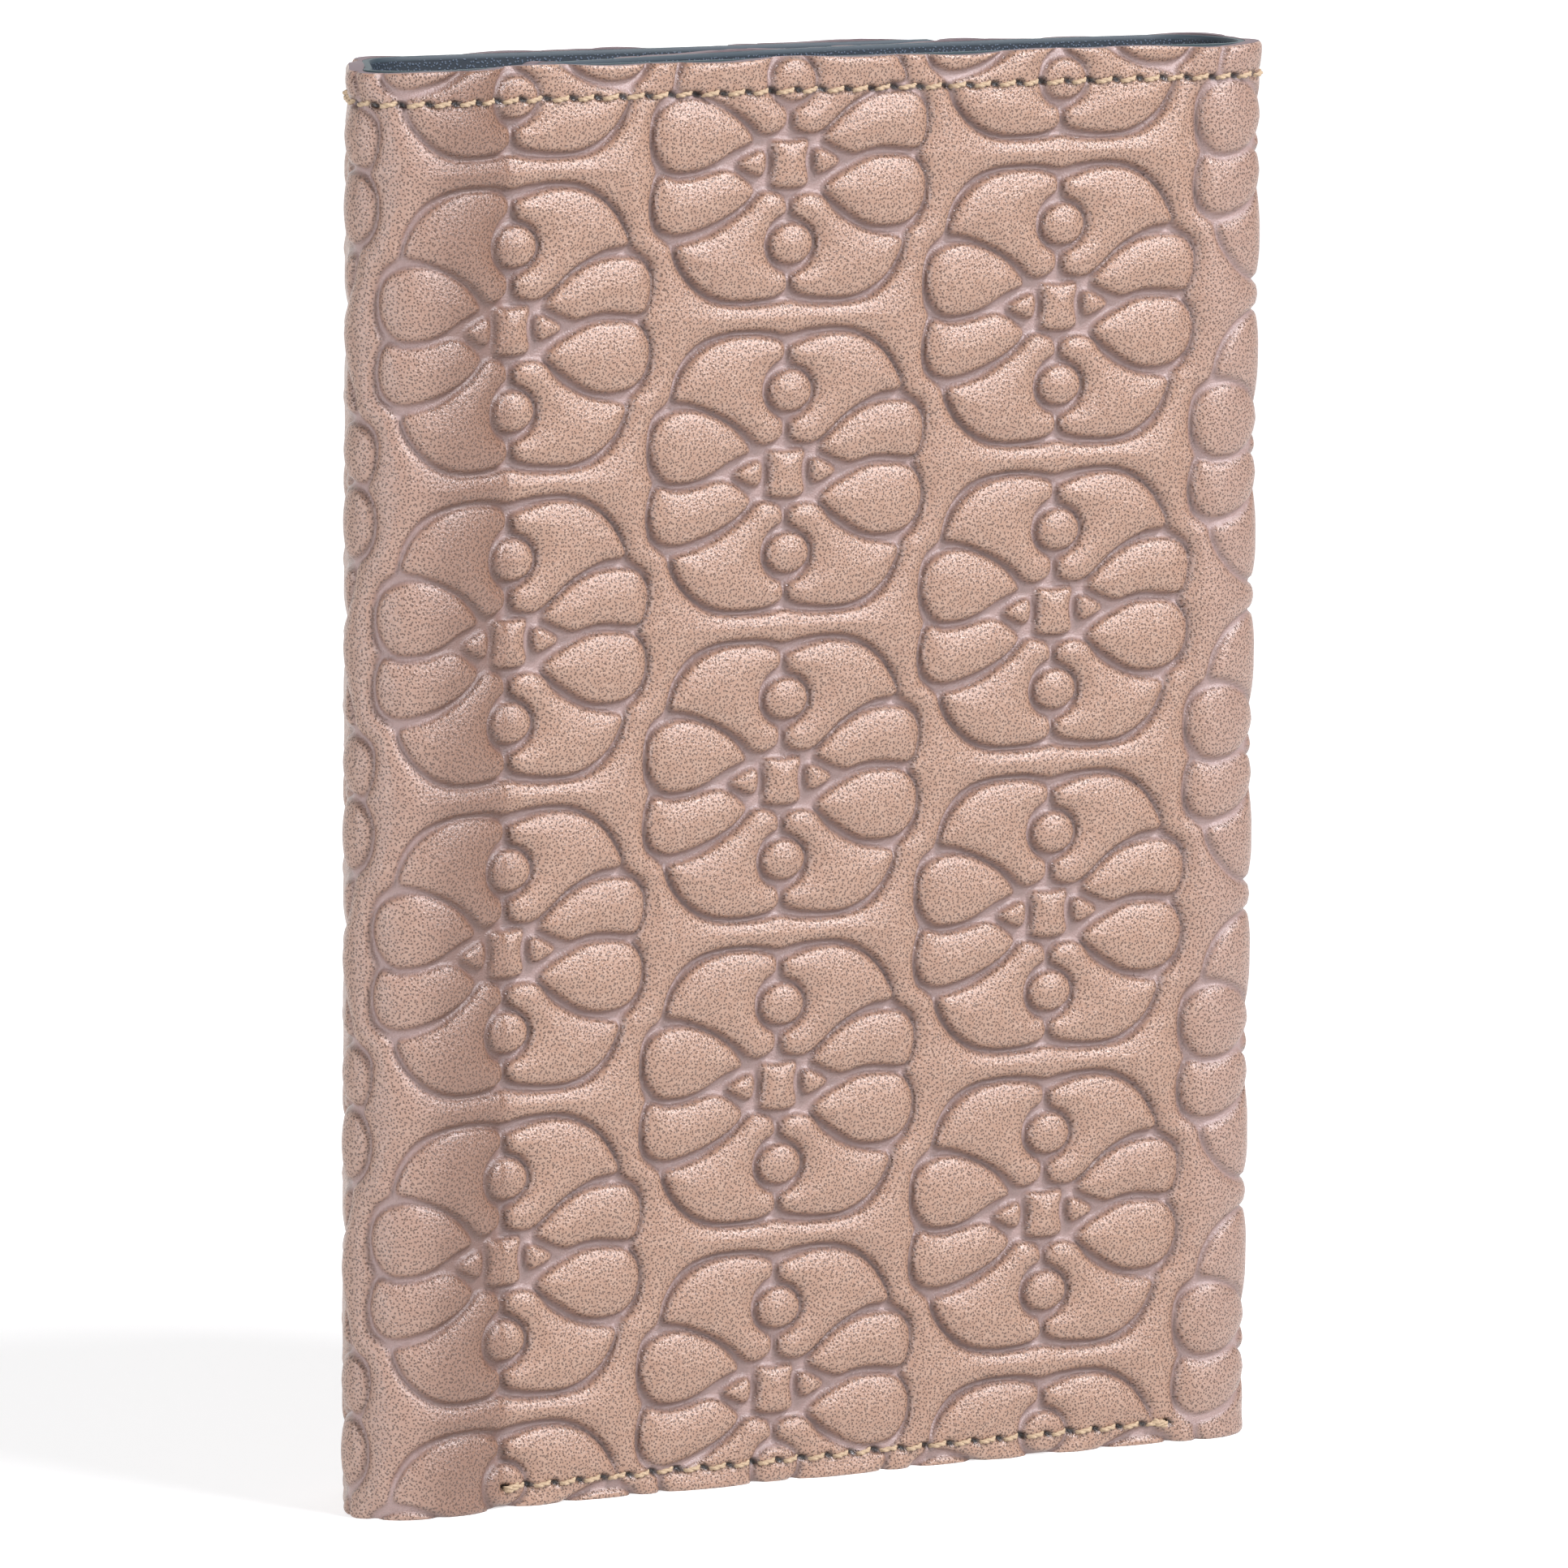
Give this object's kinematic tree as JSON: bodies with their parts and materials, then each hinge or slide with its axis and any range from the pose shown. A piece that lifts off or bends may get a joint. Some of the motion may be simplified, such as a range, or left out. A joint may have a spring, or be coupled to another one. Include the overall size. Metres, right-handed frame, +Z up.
{
  "type": "leather notebook cover",
  "caption": "Embossed leather notebook cover folded in three, with a textured lining, stitched edges and flat sleeves.",
  "frame": {"origin": "middle of the base, on the plane it stands on", "axes": "+Z up the cover's height, +Y from the front panel through to the back flap, +X from the wide left fold to the right fold"},
  "size_m": [0.102, 0.0222, 0.14],
  "materials": {
    "leather": "satin embossed, open pores, tan",
    "lining": "pebbled dark slate lining",
    "sleeve": "smooth dark slate",
    "thread": "matt waxed thread"
  },
  "bodies": {
    "front_panel": {"front_leather": "leather", "front_lining": "lining", "front_sleeve": "sleeve", "front_top_thread": "thread", "front_bottom_thread": "thread"},
    "left_fold_front": {"left_fold_front_leather": "leather", "left_fold_front_lining": "lining", "left_fold_front_top_thread": "thread"},
    "left_fold_back": {"left_fold_back_leather": "leather", "left_fold_back_lining": "lining", "left_fold_back_top_thread": "thread"},
    "back_flap": {"back_flap_leather": "leather", "back_flap_lining": "lining", "back_flap_sleeve": "sleeve", "back_flap_top_thread": "thread", "back_flap_bottom_thread": "thread", "back_flap_edge_thread": "thread"},
    "right_fold": {"right_fold_leather": "leather", "right_fold_lining": "lining", "right_fold_top_thread": "thread"},
    "inner_flap": {"inner_flap_leather": "leather", "inner_flap_lining": "lining", "inner_flap_top_thread": "thread", "inner_flap_bottom_thread": "thread", "inner_flap_edge_thread": "thread"}
  },
  "joints": [
    {"name": "cover_opening", "type": "hinge", "parent": "left_fold_front", "child": "left_fold_back", "pos_m": [-0.05044, -0.00526, 0], "axis": [0, 0, 1], "range_deg": [0, 106.2]},
    {"name": "left_fold_front_crease", "type": "hinge", "parent": "front_panel", "child": "left_fold_front", "pos_m": [-0.03484, -0.00866, 0], "axis": [0, 0, 1], "range_deg": [0, 12.3]},
    {"name": "left_fold_back_crease", "type": "hinge", "parent": "left_fold_back", "child": "back_flap", "pos_m": [-0.04284, 0.00874, 0], "axis": [0, 0, 1], "range_deg": [0, 61.5]},
    {"name": "right_fold_front_crease", "type": "hinge", "parent": "front_panel", "child": "right_fold", "pos_m": [0.03966, -0.00866, 0], "axis": [0, 0, 1], "range_deg": [-30, 0]},
    {"name": "right_fold_back_crease", "type": "hinge", "parent": "right_fold", "child": "inner_flap", "pos_m": [0.04116, 0.00694, 0], "axis": [0, 0, 1], "range_deg": [-40, 0]}
  ],
  "couplings": [
    {"joint": "left_fold_front_crease", "follows": "cover_opening", "ratio": 0.11582},
    {"joint": "left_fold_back_crease", "follows": "cover_opening", "ratio": 0.57909},
    {"joint": "right_fold_front_crease", "follows": "cover_opening", "ratio": -0.28248},
    {"joint": "right_fold_back_crease", "follows": "cover_opening", "ratio": -0.37664}
  ]
}
